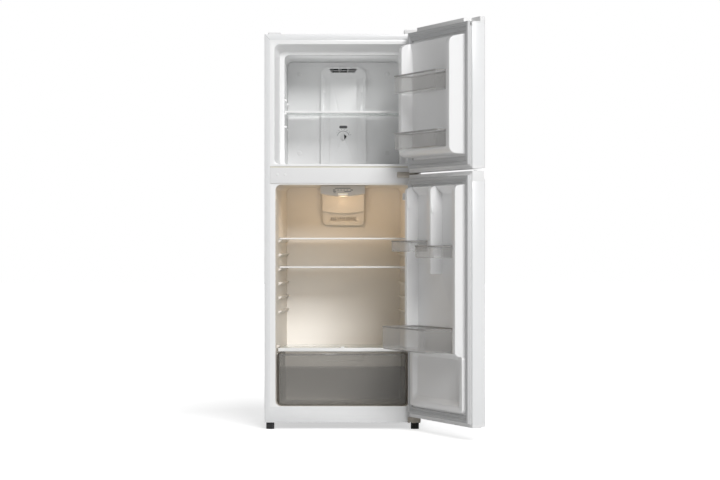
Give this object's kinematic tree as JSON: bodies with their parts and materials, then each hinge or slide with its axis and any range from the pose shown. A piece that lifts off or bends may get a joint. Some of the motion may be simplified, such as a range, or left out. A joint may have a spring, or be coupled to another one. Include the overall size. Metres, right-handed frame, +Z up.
{
  "type": "top freezer refrigerator",
  "caption": "Free-standing refrigerator with a freezer above, two hinged doors, glass shelves, door bins and a crisper drawer.",
  "frame": {"origin": "on the floor, midway between the four feet", "axes": "+Z up, the doors face -Y and hang on the +X side; both doors rest open by 111 degrees"},
  "size_m": [0.8167, 1.1586, 1.5325],
  "materials": {
    "white_paint": "smooth gloss white enamel on steel",
    "galvanised_steel": "galvanised sheet",
    "foam": "rigid foam, matt",
    "liner_plastic": "vacuum formed white plastic, soft sheen",
    "white_plastic": "smooth white moulded plastic",
    "cover_plastic": "light grey moulded plastic",
    "black_plastic": "matt dark plastic",
    "cooling_metal": "bare aluminium",
    "shelf_glass": "clear tempered glass",
    "trim_plastic": "glossy white trim",
    "smoked_plastic": "smoky translucent plastic",
    "lamp_glass": "frosted warm lamp glass",
    "zinc_steel": "plated steel, satin",
    "compressor_paint": "satin black paint",
    "clear_plastic": "clear moulded plastic",
    "gasket_rubber": "soft grey ridged gasket",
    "bushing_plastic": "natural nylon"
  },
  "bodies": {
    "cabinet": {"cabinet_shell": "white_paint", "back_panel": "galvanised_steel", "base_pan": "galvanised_steel", "foam_insulation": "foam", "freezer_liner": "liner_plastic", "fresh_food_liner": "liner_plastic", "mullion_bar": "white_plastic", "evaporator_cover": "cover_plastic", "screw_caps": "white_plastic", "fan_motor": "black_plastic", "evaporator_coil": "cooling_metal", "crisper_cover_trim": "trim_plastic", "crisper_cover_glass": "shelf_glass", "control_housing": "cover_plastic", "lamp_bulb": "lamp_glass", "duct_cover": "cover_plastic", "door_switch_body": "white_plastic", "top_hinge": "zinc_steel", "centre_hinge": "zinc_steel", "bottom_hinge": "zinc_steel", "hinge_screws": "zinc_steel", "hinge_cover": "white_plastic", "hinge_hole_cover": "white_plastic", "rear_feet": "black_plastic", "compressor": "compressor_paint", "drain_pan": "black_plastic", "mains_inlet": "black_plastic"},
    "freezer_door": {"freezer_door_skin": "white_paint", "freezer_door_top_cap": "white_plastic", "freezer_door_bottom_cap": "white_plastic", "freezer_door_gasket": "gasket_rubber", "freezer_door_bushings": "bushing_plastic", "freezer_door_liner": "liner_plastic", "freezer_door_foam": "foam"},
    "fresh_food_door": {"fresh_food_door_skin": "white_paint", "fresh_food_door_top_cap": "white_plastic", "fresh_food_door_bottom_cap": "white_plastic", "fresh_food_door_gasket": "gasket_rubber", "fresh_food_door_bushings": "bushing_plastic", "fresh_food_door_liner": "liner_plastic", "fresh_food_door_foam": "foam"},
    "freezer_shelf": {"freezer_shelf_glass": "shelf_glass", "freezer_shelf_trim": "trim_plastic"},
    "upper_shelf": {"upper_shelf_glass": "shelf_glass", "upper_shelf_trim": "trim_plastic"},
    "lower_shelf": {"lower_shelf_glass": "shelf_glass", "lower_shelf_trim": "trim_plastic"},
    "crisper_drawer": {"crisper_drawer": "smoked_plastic"},
    "humidity_slider": {"humidity_slider": "trim_plastic"},
    "temperature_dial": {"temperature_dial": "white_plastic"},
    "air_flow_knob": {"air_flow_knob": "white_plastic"},
    "evaporator_fan": {"evaporator_fan": "black_plastic"},
    "door_switch_plunger": {"door_switch_plunger": "white_plastic"},
    "left_front_foot": {"left_front_foot": "black_plastic"},
    "right_front_foot": {"right_front_foot": "black_plastic"},
    "freezer_upper_bin": {"freezer_upper_bin": "clear_plastic"},
    "freezer_lower_bin": {"freezer_lower_bin": "clear_plastic"},
    "hinge_side_bin": {"hinge_side_bin": "clear_plastic"},
    "free_side_bin": {"free_side_bin": "clear_plastic"},
    "gallon_bin": {"gallon_bin": "clear_plastic"}
  },
  "joints": [
    {"name": "freezer_door_hinge", "type": "hinge", "parent": "cabinet", "child": "freezer_door", "pos_m": [0.281, -0.319, 1.25], "axis": [0, 0, 1], "range_deg": [-111, 13.5]},
    {"name": "fresh_food_door_hinge", "type": "hinge", "parent": "cabinet", "child": "fresh_food_door", "pos_m": [0.281, -0.319, 0.51], "axis": [0, 0, 1], "range_deg": [-111, 13.5]},
    {"name": "freezer_shelf_slide", "type": "slide", "parent": "cabinet", "child": "freezer_shelf", "axis": [0, -1, 0], "range_m": [0, 0.12]},
    {"name": "upper_shelf_slide", "type": "slide", "parent": "cabinet", "child": "upper_shelf", "axis": [0, -1, 0], "range_m": [0, 0.15]},
    {"name": "lower_shelf_slide", "type": "slide", "parent": "cabinet", "child": "lower_shelf", "axis": [0, -1, 0], "range_m": [0, 0.15]},
    {"name": "crisper_drawer_slide", "type": "slide", "parent": "cabinet", "child": "crisper_drawer", "axis": [0, -1, 0], "range_m": [0, 0.26]},
    {"name": "humidity_slide", "type": "slide", "parent": "cabinet", "child": "humidity_slider", "axis": [1, 0, 0], "range_m": [-0.024, 0.024]},
    {"name": "temperature_dial_turn", "type": "hinge", "parent": "cabinet", "child": "temperature_dial", "pos_m": [0, -0.1383, 0.9038], "axis": [0, 0, 1], "range_deg": [-135, 135]},
    {"name": "air_flow_knob_turn", "type": "hinge", "parent": "cabinet", "child": "air_flow_knob", "pos_m": [0, 0.1297, 1.139], "axis": [0, -1, 0], "range_deg": [-60, 60]},
    {"name": "evaporator_fan_spin", "type": "hinge", "parent": "cabinet", "child": "evaporator_fan", "pos_m": [0, 0.162, 1.385], "axis": [0, 1, 0], "continuous": true},
    {"name": "door_switch_press", "type": "slide", "parent": "cabinet", "child": "door_switch_plunger", "axis": [0, 1, 0], "range_m": [0, 0.006], "stiffness_N_per_m": 200, "springref_m": -0.002},
    {"name": "left_foot_level", "type": "slide", "parent": "cabinet", "child": "left_front_foot", "axis": [0, 0, -1], "range_m": [0, 0.012]},
    {"name": "right_foot_level", "type": "slide", "parent": "cabinet", "child": "right_front_foot", "axis": [0, 0, -1], "range_m": [0, 0.012]},
    {"name": "freezer_upper_bin_lift", "type": "slide", "parent": "freezer_door", "child": "freezer_upper_bin", "axis": [0, 0, 1], "range_m": [0, 0.03]},
    {"name": "freezer_lower_bin_lift", "type": "slide", "parent": "freezer_door", "child": "freezer_lower_bin", "axis": [0, 0, 1], "range_m": [0, 0.03]},
    {"name": "hinge_side_bin_lift", "type": "slide", "parent": "fresh_food_door", "child": "hinge_side_bin", "axis": [0, 0, 1], "range_m": [0, 0.03]},
    {"name": "free_side_bin_lift", "type": "slide", "parent": "fresh_food_door", "child": "free_side_bin", "axis": [0, 0, 1], "range_m": [0, 0.03]},
    {"name": "gallon_bin_lift", "type": "slide", "parent": "fresh_food_door", "child": "gallon_bin", "axis": [0, 0, 1], "range_m": [0, 0.03]}
  ]
}
